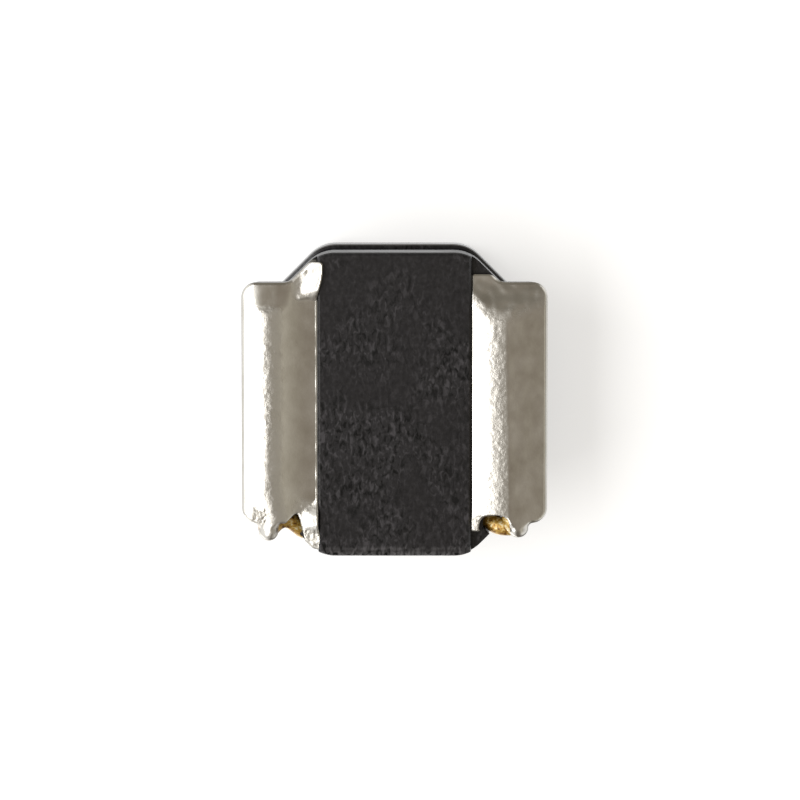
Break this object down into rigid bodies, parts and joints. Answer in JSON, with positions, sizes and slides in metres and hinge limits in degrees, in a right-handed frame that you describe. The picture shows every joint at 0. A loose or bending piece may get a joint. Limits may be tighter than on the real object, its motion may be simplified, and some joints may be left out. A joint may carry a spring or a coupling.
{
  "type": "shielded surface-mount power inductor",
  "caption": "Low square wire-wound power inductor: ferrite drum core with cut corners, resin-shielded winding and soldered terminals along two sides of its underside.",
  "frame": {"origin": "middle of the seating plane, on the circuit board under the terminals", "axes": "+Z away from the board, X from the left to the right terminal, the wire ends come out at the front, -Y"},
  "size_m": [0.005, 0.005, 0.002],
  "materials": {
    "ferrite": "fired, slightly glossy dark grey",
    "enamelled_copper": "copper under clear amber enamel",
    "magnetic_resin": "matt, grainy dark grey",
    "plating": "satin tin plating",
    "solder": "dipped tin solder, partly grainy"
  },
  "bodies": {
    "root": {"drum_core": "ferrite", "winding": "enamelled_copper", "resin_shield": "magnetic_resin", "electrode_left": "plating", "electrode_right": "plating", "solder_left": "solder", "solder_right": "solder"}
  },
  "joints": []
}
